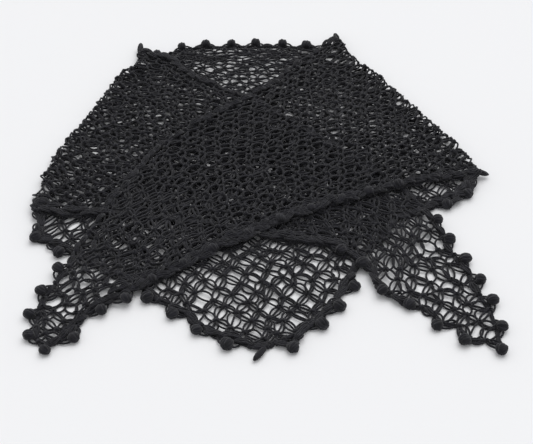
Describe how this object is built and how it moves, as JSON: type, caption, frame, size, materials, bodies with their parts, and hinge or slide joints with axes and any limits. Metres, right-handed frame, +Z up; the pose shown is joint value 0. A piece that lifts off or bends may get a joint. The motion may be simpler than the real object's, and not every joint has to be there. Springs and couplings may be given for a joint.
{
  "type": "neck warmer",
  "caption": "Triangular crocheted lace neck warmer laid flat with both wings folded in, edged with crochet bobbles.",
  "frame": {"origin": "middle of the bounding box in plan, on the surface it lies on", "axes": "+X to the viewer's right, +Y away from the viewer towards the straight top edge, +Z up"},
  "size_m": [0.5462, 0.6326, 0.0179],
  "materials": {
    "yarn": "matte"
  },
  "bodies": {
    "root": {"back_panel": "yarn", "left_wing": "yarn", "right_wing": "yarn", "back_far_hem": "yarn", "back_left_hem": "yarn", "back_right_hem": "yarn", "left_wing_long_hem": "yarn", "left_wing_short_hem": "yarn", "right_wing_long_hem": "yarn", "right_wing_short_hem": "yarn"}
  },
  "joints": []
}
